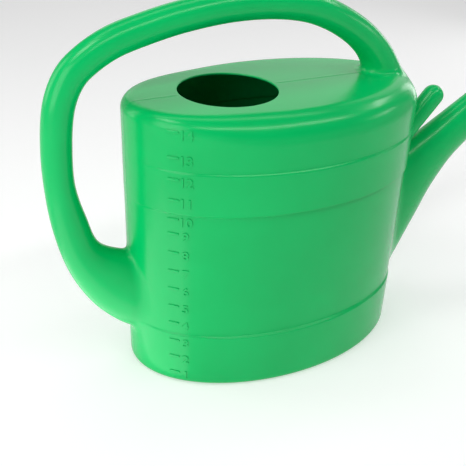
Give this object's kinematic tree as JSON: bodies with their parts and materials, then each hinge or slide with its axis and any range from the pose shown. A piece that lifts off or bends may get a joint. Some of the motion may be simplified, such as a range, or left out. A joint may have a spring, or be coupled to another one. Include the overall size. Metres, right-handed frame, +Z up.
{
  "type": "watering can",
  "caption": "Oval fourteen-litre garden watering can with hoop handle, tapered spout, storage peg, raised litre scale and pull-off rose.",
  "frame": {"origin": "centre of the tank's oval on its flat base", "axes": "+X from the handle towards the spout, +Z up, XZ is the mirror plane"},
  "size_m": [0.6906, 0.199, 0.3933],
  "materials": {
    "can_plastic": "satin blow-moulded polyethylene",
    "rose_plastic": "satin injection-moulded polyethylene"
  },
  "bodies": {
    "can": {"tank_base": "can_plastic", "tank_wall": "can_plastic", "tank_top": "can_plastic", "handle": "can_plastic", "spout_root": "can_plastic", "spout_neck": "can_plastic", "rose_peg": "can_plastic", "litre_ticks": "can_plastic", "litre_numbers": "can_plastic"},
    "rose": {"rose_shell": "rose_plastic"},
    "rose_face": {"rose_face": "rose_plastic"}
  },
  "joints": [
    {"name": "rose_pull", "type": "slide", "parent": "can", "child": "rose", "axis": [0.7771, 0, 0.6293], "range_m": [0, 0.045]},
    {"name": "rose_face_pull", "type": "slide", "parent": "rose", "child": "rose_face", "axis": [0.7771, 0, 0.6293], "range_m": [0, 0.015]}
  ]
}
